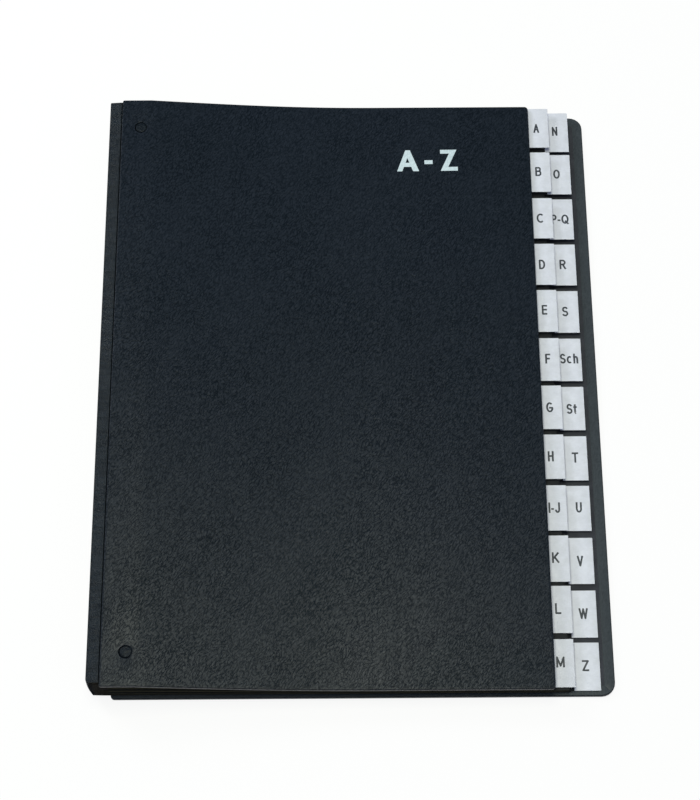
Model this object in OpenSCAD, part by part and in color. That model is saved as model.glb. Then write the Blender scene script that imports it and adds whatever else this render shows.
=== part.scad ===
// Alphabetical desk sorter: two grained board covers, a pleated bellows spine and a block of
// card index leaves whose labelled tabs step down the free edge in two columns.
// The origin is under the middle of the closed sorter. X runs from the spine to the tabs,
// Y from the bottom edge to the top edge, and Z up through the leaves.

/* [Covers] */
// Overall width, from the outermost fold of the bellows to the free edge of the back cover
sorter_w = 265; // [245:1:300]
// Height of both covers along the spine
cover_h = 340; // [300:1:380]
// Thickness of the grey board inside each cover
board_t = 1.8; // [1.4:0.1:3]
// Thickness of the grained wrap round the boards
wrap_t = 0.25; // [0.15:0.05:0.4]
// Width of the wrap's turn-in along the free edges inside a cover
turn_in = 5.5; // [4:0.5:12]
// Corner radius of the front cover
front_corner_r = 2; // [1:0.5:6]
// Corner radius of the back cover beside the tabs
back_corner_r = 7; // [2:0.5:14]
// Distance of the front cover's spine edge from the outermost fold
front_inset = 7; // [3:0.5:8]
// Distance of the back cover's spine edge from the outermost fold
back_inset = 10.8; // [6:0.1:12]

/* [Index leaves] */
// How far the leaves stay short of each end of the covers
leaf_short = 1.2; // [1.2:0.1:6]
// How far the leaf block sits towards the top edge of the covers
leaf_shift = 0.8; // [0:0.1:0.8]
// Largest sideways drift of a leaf in the hand-gathered block
leaf_drift = 0.4; // [0:0.1:0.4]
// Thickness of the leaf card
card_t = 0.3; // [0.2:0.05:0.5]
// Air between neighbouring leaves at the free edge
leaf_gap = 0.1; // [0.1:0.02:0.3]
// Depth of a tab beyond the edge of its leaf
tab_w = 15; // [13:0.5:20]
// Step from the first tab column to the second
tab_step = 12.2; // [10:0.2:14]
// Gap between neighbouring tabs of a column
tab_gap = 3.1; // [1:0.1:8]
// Largest stray of a tab from its row, as the labels were cut and pasted by hand
tab_stray = 1.75; // [0:0.05:1.75]
// Part of the first column that shows beside the front cover
tab_reveal = 11.6; // [8:0.2:12]
// Margin of the back cover beyond the second column
tab_margin = 7.4; // [3:0.2:12]
// How much further in the tabs of the top row end than those of the bottom row
tab_lean = 1.2; // [0:0.1:2]
// Thickness of the white label folded round a tab
label_t = 0.08; // [0.04:0.01:0.09]
// Diameter of the sight holes that show whether a compartment holds paper
sight_d = 12; // [6:0.5:20]
// Spacing of the sight holes along the leaf
sight_pitch = 90; // [40:5:120]
// Distance of the sight holes from the edge of the first leaves
sight_inset = 35; // [15:1:40]

/* [Bellows spine] */
// How far the bellows stays short of each end of the leaves
pleat_short = 0.3; // [0.2:0.1:6]
// Depth of a pleat, from its outer fold to the edge of the leaf
pleat_d = 10.5; // [10:0.5:16]
// Width of the glued margin where a pleat overlaps a leaf or a cover
glue_w = 12.5; // [12:0.5:20]
// Thickness of the pleated cloth
pleat_t = 0.15; // [0.1:0.01:0.2]
// Air between neighbouring leaves at the glued margins
spine_gap = 0.15; // [0.1:0.01:0.4]
// Gap between the two flanks of a pleat at its fold
fold_gap = 0.06; // [0.02:0.01:0.08]
// How far the lowest fold lies inside the outermost one
bellows_lean = 2; // [0:0.2:3]

/* [Rivets] */
// Diameter of a rivet's head
head_d = 6.6; // [5:0.2:8]
// Thickness of the head at its rim
head_rim = 0.3; // [0.2:0.05:0.5]
// Rise of the head's low dome above its rim
head_rise = 0.4; // [0.2:0.05:0.6]
// Room round and above the head in its dimple
head_room = 0.15; // [0.05:0.05:0.3]
// Diameter of the rivet's shank
shank_d = 3; // [2:0.1:4]
// Diameter of the clinched end inside the cover
clinch_d = 5.2; // [4.2:0.1:7]
// Thickness of the clinched end
clinch_t = 0.35; // [0.2:0.05:0.5]
// Room between the clinched end and the nearest leaf
clinch_gap = 0.1; // [0.1:0.05:0.4]
// Distance of the rivets from the front cover's spine edge
rivet_in = 11.6; // [9:0.2:13]
// Distance of the rivets from the covers' top and bottom edges
rivet_end = 17.8; // [8:0.1:40]
// How much nearer to the spine edge the rivets at the top sit than those at the bottom
rivet_skew = 2; // [0:0.1:2]

/* [Closed shape] */
// Length over which the closed sorter drops from its spine to its free edge
bend_w = 125; // [80:1:140]
// Air between the linings and the block of leaves at the free edge
lining_gap = 0.1; // [0.1:0.05:0.5]

/* [Hidden] */
letters = [
    "a", "b", "c", "d", "e", "f", "g", "h", "ij", "k", "l", "m",
    "n", "o", "pq", "r", "s", "sch", "st", "t", "u", "v", "w", "z"
];
round_n = 96;
dome_n = 720;
$fn = round_n;

black_card = "#1d2024";
black_grain = "#22272b";
black_cloth = "#191c1f";
grey_board = "#8b8880";
white_label = "#dde2e6";
black_metal = "#15171a";

leaf_n = len(letters);
row_n = leaf_n / 2;
tab_shares = [
    0.23, 0.32, -0.11, -0.17, -0.13, -0.45, -0.19, -0.14, -0.34, -0.06, 0.5, 0.5,
    0.23, 0.96, 0.98, 1, 0.86, 0.69, 0.59, 0.44, 0.55, 0.18, -0.03, 0.29
];
sight_n = 3;
bend_n = 12;
bend_power = 2.2;
bend_swell = 0.7;
drift_turn = 151;
cut = 1;

// Positions along X
fold_x0 = -sorter_w / 2;
back_x0 = fold_x0 + back_inset;
back_x1 = sorter_w / 2;
front_x0 = fold_x0 + front_inset;
leaf_x0 = fold_x0 + pleat_d;
glue_x1 = leaf_x0 + glue_w;
column_x = [back_x1 - tab_margin - tab_step, back_x1 - tab_margin];
front_x1 = column_x[0] - tab_reveal;
sight_x = column_x[0] - tab_w - sight_inset;
rivet_x = front_x0 + rivet_in;
rivet_y = cover_h / 2 - rivet_end;

// Heights: the covers' inner faces, the slots of the leaves at both edges of the block
cover_t = board_t + 2 * wrap_t;
lining_t = wrap_t + pleat_t;
spine_pitch = card_t + 2 * pleat_t + spine_gap;
edge_pitch = card_t + leaf_gap;
spine_end = pleat_t + clinch_t + clinch_gap;
edge_end = lining_t - wrap_t + lining_gap;
spine_stack = leaf_n * spine_pitch + 2 * spine_end;
edge_stack = leaf_n * edge_pitch + 2 * edge_end;
dimple_d = head_d + 2 * head_room;
dimple_t = head_rim + head_rise + head_room;

// Lengths along the spine, and the rows of tabs
leaf_h = cover_h - 2 * leaf_short;
bellows_h = leaf_h - 2 * pleat_short;
tab_pitch = (leaf_h + tab_gap) / row_n;
tab_h = tab_pitch - tab_gap;

// How much of the drop from spine to free edge is still to come at x: 1 at the spine, 0 past the bend
function bend(x) =
    let (u = min(1, max(0, (x - glue_x1) / bend_w)))
    pow(1 - u, bend_power) * (1 + bend_swell * u);
function between(spine_z, edge_z, x) = edge_z + (spine_z - edge_z) * bend(x);
function bend_xs(x0, x1) = concat(
    [x0],
    [for (i = [0:bend_n]) let (x = glue_x1 + bend_w * i / bend_n) if (x > x0 && x < x1) x],
    [x1]
);

// Heights of the leaves, counted from 1 at the top, and of the folds above and below them
function slot(k) = leaf_n - k + 0.5;
function leaf_z(k, x) = between(
    cover_t + spine_end + slot(k) * spine_pitch,
    cover_t + edge_end + slot(k) * edge_pitch,
    x
);
function fold_z(k) = cover_t + spine_end + (leaf_n - k) * spine_pitch;
function fold_x(k) = fold_x0 + bellows_lean * k / leaf_n;
function front_z(x) = cover_t + between(spine_stack, edge_stack, x);

// Place of each leaf and of its tab
function column(k) = k > row_n ? 1 : 0;
function row(k) = k - column(k) * row_n;
function leaf_y(k) = leaf_shift + leaf_drift * cos(drift_turn * (k - 1));
function tab_x1(k) = column_x[column(k)] - tab_lean * (row_n - row(k)) / (row_n - 1);
function tab_row_y(k) = leaf_shift + ((row_n + 1) / 2 - row(k)) * tab_pitch + tab_stray * tab_shares[k - 1];
function tab_y(k) =
    let (room = (leaf_h - tab_h) / 2)
    min(leaf_y(k) + room, max(leaf_y(k) - room, tab_row_y(k)));

// Closed outline of a band that follows a height function, from its lower to its upper side
function band(xs, low, high) = concat(
    [for (i = [0:len(xs) - 1]) [xs[i], low[i]]],
    [for (i = [len(xs) - 1:-1:0]) [xs[i], high[i]]]
);

// A profile in the XZ plane, extruded along the spine
module along_spine(length, y = 0) {
    translate([0, y, 0])
        rotate([90, 0, 0])
            linear_extrude(height = length, center = true)
                children();
}

// A sheet of the front cover between two depths below its outer face
module front_sheet(x0, x1, height, depth0, depth1) {
    xs = bend_xs(x0, x1);
    along_spine(height)
        polygon(band(
            xs,
            [for (x = xs) front_z(x) + cover_t - depth1],
            [for (x = xs) front_z(x) + cover_t - depth0]
        ));
}

// A plate outline with one corner radius on the spine side and another on the free side
module plate_outline(x0, x1, height, spine_r, free_r) {
    translate([x0 + spine_r, -height / 2])
        square([x1 - x0 - spine_r - free_r, height]);
    translate([x0, spine_r - height / 2])
        square([x1 - x0 - free_r, height - 2 * spine_r]);
    translate([x0 + spine_r, free_r - height / 2])
        square([x1 - x0 - spine_r, height - 2 * free_r]);
    for (side = [-1, 1]) {
        translate([x0 + spine_r, side * (height / 2 - spine_r)])
            circle(r = spine_r);
        translate([x1 - free_r, side * (height / 2 - free_r)])
            circle(r = free_r);
    }
}

module at_rivets(z) {
    for (side = [-1, 1])
        translate([rivet_x - side * rivet_skew / 2, side * rivet_y, z])
            children();
}

// The hole of a rivet through a cover, with the dimple of its head upwards from z = 0
module rivet_hole() {
    cylinder(d = dimple_d, h = dimple_t + cut);
    translate([0, 0, -cover_t - cut])
        cylinder(d = shank_d, h = cover_t + 2 * cut);
}

// A rivet with its head upwards from z = 0 and its clinched end below the cloth
module rivet() {
    grip = cover_t - dimple_t + pleat_t;
    dome_r = (pow(head_d / 2, 2) + pow(head_rise, 2)) / (2 * head_rise);
    rotate_extrude($fn = round_n) {
        square([head_d / 2, head_rim]);
        intersection() {
            translate([0, head_rim + head_rise - dome_r])
                circle(r = dome_r, $fn = dome_n);
            translate([0, head_rim])
                square([head_d / 2, head_rise]);
        }
        translate([0, -grip])
            square([shank_d / 2, grip]);
        translate([0, -grip - clinch_t])
            square([clinch_d / 2, clinch_t]);
    }
}

// The free flank and glued margin of a pleat: out to a fold, then along a face at margin_z.
// side is 1 where the cloth lies on top of that face and -1 where it lies underneath.
module pleat_flank(fold, edge_x, margin_z, side) {
    fold_end = fold_z(fold) - side * fold_gap / 2;
    along_spine(bellows_h, leaf_shift)
        polygon([
            [fold_x(fold), fold_end],
            [fold_x(fold), fold_end - side * pleat_t],
            [edge_x, margin_z],
            [glue_x1, margin_z],
            [glue_x1, margin_z + side * pleat_t],
            [edge_x, margin_z + side * pleat_t]
        ]);
}

module back_cover_board() {
    color(grey_board)
        difference() {
            translate([0, 0, wrap_t])
                linear_extrude(height = board_t)
                    plate_outline(
                        back_x0 + wrap_t, back_x1 - wrap_t, cover_h - 2 * wrap_t,
                        front_corner_r - wrap_t, back_corner_r - wrap_t
                    );
            at_rivets(dimple_t)
                mirror([0, 0, 1])
                    rivet_hole();
        }
}

module back_cover_wrap() {
    color(black_grain)
        difference() {
            linear_extrude(height = cover_t)
                plate_outline(back_x0, back_x1, cover_h, front_corner_r, back_corner_r);
            translate([0, 0, wrap_t])
                linear_extrude(height = board_t)
                    plate_outline(
                        back_x0 + wrap_t, back_x1 - wrap_t, cover_h - 2 * wrap_t,
                        front_corner_r - wrap_t, back_corner_r - wrap_t
                    );
            translate([glue_x1, turn_in - cover_h / 2, wrap_t + board_t])
                cube([back_x1 - turn_in - glue_x1, cover_h - 2 * turn_in, wrap_t + cut]);
            at_rivets(dimple_t)
                mirror([0, 0, 1])
                    rivet_hole();
        }
}

module back_cover_lining() {
    color(black_card)
        translate([glue_x1, turn_in - cover_h / 2, wrap_t + board_t])
            cube([back_x1 - turn_in - glue_x1, cover_h - 2 * turn_in, lining_t]);
}

module back_pleat() {
    color(black_cloth)
        difference() {
            pleat_flank(leaf_n, back_x0, cover_t, 1);
            at_rivets(0)
                cylinder(d = shank_d, h = cover_t + cut);
        }
}

module back_rivets() {
    color(black_metal)
        at_rivets(dimple_t)
            mirror([0, 0, 1])
                rivet();
}

// The shape of the front board, which the wrap encloses
module front_core() {
    intersection() {
        front_sheet(
            front_x0 + wrap_t, front_x1 - wrap_t, cover_h - 2 * wrap_t,
            wrap_t, wrap_t + board_t
        );
        linear_extrude(height = front_z(front_x0) + cover_t + cut)
            plate_outline(
                front_x0 + wrap_t, front_x1 - wrap_t, cover_h - 2 * wrap_t,
                front_corner_r - wrap_t, front_corner_r - wrap_t
            );
    }
}

module front_rivet_holes() {
    at_rivets(front_z(rivet_x) + cover_t - dimple_t)
        rivet_hole();
}

module front_cover_board() {
    color(grey_board)
        difference() {
            front_core();
            front_rivet_holes();
        }
}

module front_cover_wrap() {
    color(black_grain)
        difference() {
            intersection() {
                front_sheet(front_x0, front_x1, cover_h, 0, cover_t);
                linear_extrude(height = front_z(front_x0) + cover_t + cut)
                    plate_outline(front_x0, front_x1, cover_h, front_corner_r, front_corner_r);
            }
            front_core();
            front_sheet(
                glue_x1, front_x1 - turn_in, cover_h - 2 * turn_in,
                wrap_t + board_t, cover_t + cut
            );
            front_rivet_holes();
        }
}

module front_cover_lining() {
    color(black_card)
        front_sheet(
            glue_x1, front_x1 - turn_in, cover_h - 2 * turn_in,
            wrap_t + board_t, wrap_t + board_t + lining_t
        );
}

module front_pleat() {
    color(black_cloth)
        difference() {
            pleat_flank(0, front_x0, front_z(front_x0), -1);
            at_rivets(front_z(rivet_x) - pleat_t - cut)
                cylinder(d = shank_d, h = cover_t);
        }
}

module front_rivets() {
    color(black_metal)
        at_rivets(front_z(rivet_x) + cover_t - dimple_t)
            rivet();
}

// An index leaf: its card, with the tab left standing, between the two flanks of its pleats
module leaf(k) {
    x1 = tab_x1(k);
    xs = bend_xs(leaf_x0, x1);
    half = card_t / 2;
    color(black_card) {
        difference() {
            along_spine(leaf_h, leaf_y(k))
                polygon(band(
                    xs,
                    [for (x = xs) leaf_z(k, x) - half],
                    [for (x = xs) leaf_z(k, x) + half]
                ));
            for (side = [-1, 1])
                translate([
                    x1 - tab_w,
                    tab_y(k) + side * (tab_h + cover_h) / 2 - cover_h / 2,
                    0
                ])
                    cube([tab_w + cut, cover_h, spine_stack]);
            for (i = [0:sight_n - 1])
                translate([sight_x, leaf_shift + (i - (sight_n - 1) / 2) * sight_pitch, 0])
                    cylinder(d = sight_d, h = spine_stack);
        }
    }
    color(black_cloth) {
        pleat_flank(k - 1, leaf_x0, leaf_z(k, leaf_x0) + half, 1);
        pleat_flank(k, leaf_x0, leaf_z(k, leaf_x0) - half, -1);
    }
}

// The white label folded round a leaf's tab
module tab(k) {
    x1 = tab_x1(k);
    low = leaf_z(k, x1) - card_t / 2;
    color(white_label)
        difference() {
            translate([x1 - tab_w, tab_y(k) - tab_h / 2, low - label_t])
                cube([tab_w + label_t, tab_h, card_t + 2 * label_t]);
            translate([x1 - tab_w - cut, tab_y(k) - tab_h / 2 - cut, low])
                cube([tab_w + cut, tab_h + 2 * cut, card_t]);
        }
}

back_cover_board();
back_cover_wrap();
back_cover_lining();
back_pleat();
back_rivets();
front_cover_board();
front_cover_wrap();
front_cover_lining();
front_pleat();
front_rivets();
for (k = [1:leaf_n])
    leaf(k);
for (k = [1:leaf_n])
    tab(k);
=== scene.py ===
import math

import bmesh
import bpy
from mathutils import Matrix, Vector
from mathutils.geometry import delaunay_2d_cdt


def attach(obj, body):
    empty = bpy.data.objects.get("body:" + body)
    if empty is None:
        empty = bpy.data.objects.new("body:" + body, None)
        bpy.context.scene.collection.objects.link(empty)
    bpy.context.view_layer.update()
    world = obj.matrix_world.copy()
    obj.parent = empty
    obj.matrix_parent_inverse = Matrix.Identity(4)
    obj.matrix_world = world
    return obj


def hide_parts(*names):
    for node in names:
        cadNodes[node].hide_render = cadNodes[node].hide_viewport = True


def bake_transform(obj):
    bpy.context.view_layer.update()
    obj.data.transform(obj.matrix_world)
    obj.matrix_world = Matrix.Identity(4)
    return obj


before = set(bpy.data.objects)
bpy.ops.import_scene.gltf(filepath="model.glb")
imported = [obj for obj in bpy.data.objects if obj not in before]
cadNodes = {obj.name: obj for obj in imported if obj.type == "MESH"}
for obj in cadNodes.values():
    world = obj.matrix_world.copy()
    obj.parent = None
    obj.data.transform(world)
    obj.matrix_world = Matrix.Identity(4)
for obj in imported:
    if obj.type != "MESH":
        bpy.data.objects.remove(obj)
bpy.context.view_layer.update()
scene = bpy.context.scene
scene.view_settings.view_transform = "Standard"
mm = 0.001

# From the top leaf down: name, text on the tab, the text's width, its middle from the tab's edge
# and above the tab's middle in mm, and the tab's stray from its row as a share of tabStray
index = [
    ("a", "A", 3.2, 6.75, -0.1, 0.23), ("b", "B", 3.4, 6.65, 0.35, 0.32), ("c", "C", 4.3, 6.6, 0.0, -0.11),
    ("d", "D", 3.4, 6.95, -0.15, -0.17), ("e", "E", 2.9, 6.75, 0.6, -0.13), ("f", "F", 2.8, 6.2, 0.45, -0.45),
    ("g", "G", 3.9, 6.35, -0.05, -0.19), ("h", "H", 3.1, 7, 0.2, -0.14), ("ij", "I-J", 5.9, 6.35, 0.05, -0.34),
    ("k", "K", 3.7, 6.95, 0.5, -0.06), ("l", "L", 3.1, 6.85, 0.4, 0.5), ("m", "M", 4.3, 6.9, 0.6, 0.5),
    ("n", "N", 3.1, 7.35, 0.85, 0.23), ("o", "O", 3.7, 7.65, 0.3, 0.96), ("pq", "P-Q", 9.5, 7.15, 0.1, 0.98),
    ("r", "R", 3.5, 7.1, 0.3, 1.0), ("s", "S", 3.4, 7.25, 0.2, 0.86), ("sch", "Sch", 9.8, 6.6, 0.7, 0.69),
    ("st", "St", 5.6, 6.7, -0.25, 0.59), ("t", "T", 3.4, 6.35, 0.45, 0.44), ("u", "U", 3.2, 5.9, 0.5, 0.55),
    ("v", "V", 3.2, 6.85, -0.15, 0.18), ("w", "W", 4.7, 6.75, 0.2, -0.03), ("z", "Z", 3.5, 7.15, 0.45, 0.29),
]
names = [entry[0] for entry in index]
leafCount = len(index)
rowCount = leafCount // 2

# Closed shape that every sheet of the sorter follows, in mm
block = {
    "foldX": -132.5, "foldLean": 2.0, "foldZ": 2.9, "foldPitch": 0.75,
    "leafX": -122.0, "glueX": -109.5, "bendLength": 125.0, "bendPower": 2.2, "bendSwell": 0.7,
    "edgeZ": 2.55, "edgePitch": 0.4, "coverT": 2.3, "coverH": 340.0,
    "frontSpineZ": 23.8, "frontEdgeZ": 14.7, "shift": 0.8, "drift": 0.4, "driftTurn": 151.0,
}
grid = {"bendSteps": 30, "glueLead": 6.0, "flatX": (40.0, 65.0, 90.0), "clear": 4.0, "rowReach": 150.0,
        "cornerSteps": 6, "sharpAngle": 35.0}
tiny = 0.01  # mm


def bendShare(x):
    u = min(1.0, max(0.0, (x - block["glueX"]) / block["bendLength"]))
    return (1 - u) ** block["bendPower"] * (1 + block["bendSwell"] * u)


def frontTop(x):
    return block["frontEdgeZ"] + (block["frontSpineZ"] - block["frontEdgeZ"]) * bendShare(x)


def leafHeights(k):  # middle of leaf k at the spine and past the bend
    slot = leafCount - k + 0.5
    return block["foldZ"] + slot * block["foldPitch"], block["edgeZ"] + slot * block["edgePitch"]


def leafShift(k):
    return block["shift"] + block["drift"] * math.cos(math.radians(block["driftTurn"] * (k - 1)))


def foldPlace(k):
    return (block["foldX"] + block["foldLean"] * k / leafCount,
            block["foldZ"] + (leafCount - k) * block["foldPitch"])


def bendStations(x0, x1):  # where a sheet's mesh needs rows of points
    bent = [block["glueX"] + block["bendLength"] * i / grid["bendSteps"] for i in range(grid["bendSteps"] + 1)]
    stations = [block["glueX"] - grid["glueLead"], *bent, *grid["flatX"]]
    return [x for x in stations if x0 + grid["clear"] < x < x1 - grid["clear"]]


def meshRows(count):
    return [2 * grid["rowReach"] * i / (count - 1) - grid["rowReach"] for i in range(count)]


# Node helpers: a Field is an output socket that takes part in sums, and each sum adds its Math node


class Field:
    def __init__(self, socket):
        self.socket, self.tree = socket, socket.id_data

    def calc(self, operation, *others):
        return mathNode(self.tree, operation, self, *others)

    def clamped(self):
        self.socket.node.use_clamp = True
        return self

    def __add__(self, other):
        return self.calc("ADD", other)

    def __sub__(self, other):
        return self.calc("SUBTRACT", other)

    def __rsub__(self, other):
        return mathNode(self.tree, "SUBTRACT", other, self)

    def __mul__(self, other):
        return self.calc("MULTIPLY", other)

    def __truediv__(self, other):
        return self.calc("DIVIDE", other)

    def __pow__(self, other):
        return self.calc("POWER", other)


def feed(socket, value):  # links a field or a socket, or sets a constant
    value = getattr(value, "socket", value)
    if isinstance(value, bpy.types.NodeSocket):
        socket.id_data.links.new(value, socket)
    elif value is not None:
        socket.default_value = value


def feedAll(node, **values):
    for label, value in values.items():
        feed(node.inputs[label.replace("_", " ")], value)
    return node


def addNode(tree, kind, settings=None, **values):
    n = tree.nodes.new(kind)
    for key, value in (settings or {}).items():
        setattr(n, key, value)
    return feedAll(n, **values)


def mathNode(tree, operation, *values, kind="ShaderNodeMath"):
    n = addNode(tree, kind, {"operation": operation})
    for socket, value in zip(n.inputs, values):
        feed(socket, value)
    return Field(n.outputs[0])


def noiseNode(at, scale, detail=3.0, rough=0.5, output="Fac"):
    n = addNode(at.tree, "ShaderNodeTexNoise", Vector=at, Scale=scale, Detail=detail, Roughness=rough)
    return Field(n.outputs[output])


def rangeNode(value, low, high, toLow=0.0, toHigh=1.0, smooth=True):
    n = addNode(value.tree, "ShaderNodeMapRange", {"interpolation_type": "SMOOTHSTEP" if smooth else "LINEAR"},
                Value=value, From_Min=low, From_Max=high, To_Min=toLow, To_Max=toHigh)
    return Field(n.outputs["Result"])


def mixColor(share, a, b):
    n = addNode(share.tree, "ShaderNodeMix", {"data_type": "RGBA"})
    for number, value in ((0, share), (6, a), (7, b)):  # the sockets of the colour kind
        feed(n.inputs[number], value)
    return Field(n.outputs[2])


def mapVector(at, scale, turn=0.0, kind="POINT"):
    n = addNode(at.tree, "ShaderNodeMapping", {"vector_type": kind}, Vector=at, Scale=scale,
                Rotation=(0, 0, math.radians(turn)))
    return Field(n.outputs[0])


def shifted(at, noise, reach):  # a place moved by a coloured noise
    return mathNode(at.tree, "MULTIPLY_ADD", noise, (reach, reach, reach), at, kind="ShaderNodeVectorMath")


def newGroup(name, treeKind, inputs, outputs):  # each socket as its label and kind
    group = bpy.data.node_groups.new(name, treeKind)
    for side, sockets in (("INPUT", inputs), ("OUTPUT", outputs)):
        for label, kind in sockets:
            group.interface.new_socket(label, in_out=side, socket_type="NodeSocket" + kind)
    given = group.nodes.new("NodeGroupInput").outputs
    return group, {s.name: Field(s) for s in given if s.name}, group.nodes.new("NodeGroupOutput").inputs


def effectGroup(name, inputs, outputs):  # a shader effect over the surface
    floats = [[(label, "Float") for label in labels] for labels in (inputs, outputs)]
    return newGroup(name, "ShaderNodeTree", [("Vector", "Vector")] + floats[0], floats[1])


def useGroup(group, at, **values):
    n = addNode(at.tree, "ShaderNodeGroup", {"node_tree": group}, Vector=at, **values)
    return {s.name: Field(s) for s in n.outputs}


# Embossed leather grain: small pebbles and short slanting creases that wander, stronger in patches
grainShape = {"wander": (75.0, 0.004), "sway": (0.6, 0.0009), "stretch": (2.3, 1.0, 1.0), "slant": 56.0,
              "pebbleGap": 0.3, "pebbleHeight": 0.3, "pebbleShade": 0.4, "creaseGap": 0.13, "creaseHeight": 0.2,
              "creaseShade": 0.6, "patchScale": 34.0, "patchRange": (0.36, 0.64), "fineScale": 1.8, "fineHeight": 0.2}
grainGroup, given, out = effectGroup("embossedGrain", ("Scale", "Patchiness"), ("Height", "Crease"))
at, scale = given["Vector"], given["Scale"]
wanderScale, wander = grainShape["wander"]
swayScale, sway = grainShape["sway"]
slanted = mapVector(shifted(at, noiseNode(at, wanderScale, 1.0, output="Color"), wander),
                    grainShape["stretch"], grainShape["slant"], "TEXTURE")
swayed = shifted(slanted, noiseNode(slanted, scale * swayScale, 2.0, output="Color"), sway)
pebbles = addNode(grainGroup, "ShaderNodeTexVoronoi", {"feature": "DISTANCE_TO_EDGE"}, Vector=swayed, Scale=scale)
pebble = rangeNode(Field(pebbles.outputs["Distance"]), 0.0, grainShape["pebbleGap"])
wrinkle = noiseNode(slanted, scale, 1.0)
ridge = rangeNode((wrinkle - 0.5).calc("ABSOLUTE"), 0.0, grainShape["creaseGap"])
patch = rangeNode(noiseNode(at, grainShape["patchScale"], 2.0), *grainShape["patchRange"])
patchShare = 1.0 - given["Patchiness"] * (1.0 - patch)
fine = noiseNode(at, scale * grainShape["fineScale"], 2.0, 0.6)
coarse = ridge * grainShape["creaseHeight"] + (pebble * grainShape["pebbleHeight"] + wrinkle)
feed(out["Height"], fine * grainShape["fineHeight"] + coarse * patchShare)
# Crease is highest in the creases and at the pebbles' edges; the wrap uses it to paint shade there, and the print wears
# there
shade = ridge * -grainShape["creaseShade"] + (pebble * -grainShape["pebbleShade"] + 1.0)
feed(out["Crease"], shade * patchShare)

# Paper fibre: cloudy formation plus fine hairs along the sheet
fibreShape = {"cloudScale": 0.16, "hairStretch": (0.35, 2.2, 1.0), "hairTurn": 8.0, "hairHeight": 0.6}
fibreGroup, given, out = effectGroup("paperFibre", ("Scale",), ("Cloud", "Hair", "Height"))
at, scale = given["Vector"], given["Scale"]
cloud = noiseNode(at, scale * fibreShape["cloudScale"], 4.0, 0.6)
hair = noiseNode(mapVector(at, fibreShape["hairStretch"], fibreShape["hairTurn"]), scale, 3.0, 0.65)
feed(out["Cloud"], cloud)
feed(out["Hair"], hair)
feed(out["Height"], hair * fibreShape["hairHeight"] + cloud)

# Rubbed edges: where the edge mask is high and a broken noise lets the base show
rubShape = {"scale": 260.0, "brokenRange": (0.38, 0.66), "least": 0.25}
rubGroup, given, out = effectGroup("edgeRub", ("Edge", "Amount"), ("Mask",))
broken = rangeNode(noiseNode(given["Vector"], rubShape["scale"], 4.0, 0.65), *rubShape["brokenRange"])
broken = broken * (1.0 - rubShape["least"]) + rubShape["least"]
feed(out["Mask"], (given["Edge"] * given["Amount"] * broken).clamped())

# Handling: broad, faint smears that vary the sheen
smearShape = {"stretch": (1.0, 0.55, 1.0), "scale": 14.0, "range": (0.3, 0.7)}
smearGroup, given, out = effectGroup("handSmear", (), ("Value",))
smear = noiseNode(mapVector(given["Vector"], smearShape["stretch"]), smearShape["scale"], 1.0)
feed(out["Value"], rangeNode(smear, *smearShape["range"]))

# Material helpers


def newMaterial(name):
    material = bpy.data.materials.new(name)
    material.use_nodes = True
    material.node_tree.nodes.clear()
    return material, material.node_tree, material.node_tree.nodes.new("ShaderNodeOutputMaterial").inputs[0]


def newSkin(name):
    material, tree, surface = newMaterial(name)
    feed(surface, tree.nodes.new("ShaderNodeBsdfPrincipled").outputs[0])
    return material, Field(tree.nodes.new("ShaderNodeTexCoord").outputs["Object"])


def dress(material, look, color, roughness, height, **more):
    tree, (strength, distance) = material.node_tree, look["bump"]
    bump = addNode(tree, "ShaderNodeBump", Strength=strength, Distance=distance, Height=height)
    feedAll(tree.nodes["Principled BSDF"], Base_Color=color, Roughness=roughness, Normal=bump.outputs[0],
            Specular_IOR_Level=look["specular"], **more)
    return material


def markOn(at, name):  # a mark that the mesh carries
    return Field(addNode(at.tree, "ShaderNodeAttribute", {"attribute_name": name}).outputs["Fac"])


def rubOver(at, look, edge):
    return useGroup(rubGroup, at, Edge=edge, Amount=look["rub"])["Mask"]


def smearOver(at):
    return useGroup(smearGroup, at)["Value"]


def sheenOver(at, look):  # roughness without a smear and in the middle of one
    return rangeNode(smearOver(at), 0.0, 1.0, *look["roughness"], smooth=False)


def fibreOver(at, look):  # the fibres and the tone that they give
    fibre = useGroup(fibreGroup, at, Scale=look["fibreScale"])
    return fibre, rangeNode(fibre["Cloud"] * look["cloud"] + fibre["Hair"] * (1.0 - look["cloud"]), *look["toneRange"])


wrapLook = {
    "dark": (0.0034, 0.0062, 0.0098, 1), "light": (0.0136, 0.0188, 0.0288, 1), "pitShade": (0.0018, 0.003, 0.0046, 1),
    "rubbed": (0.07, 0.064, 0.058, 1), "inside": (0.059, 0.068, 0.078, 1), "insideGrain": 0.45, "insideFlat": 0.45,
    "grain": {"Scale": 870.0, "Patchiness": 0.15}, "smearTone": 0.1, "rub": 0.6, "roughness": (0.305, 0.285),
    "specular": 0.04, "coat": 0.123, "coatShade": 1.95, "coatMiddle": 0.4, "coatRoughness": 0.31,
    "bump": (1.0, 0.00018),
}


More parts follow.
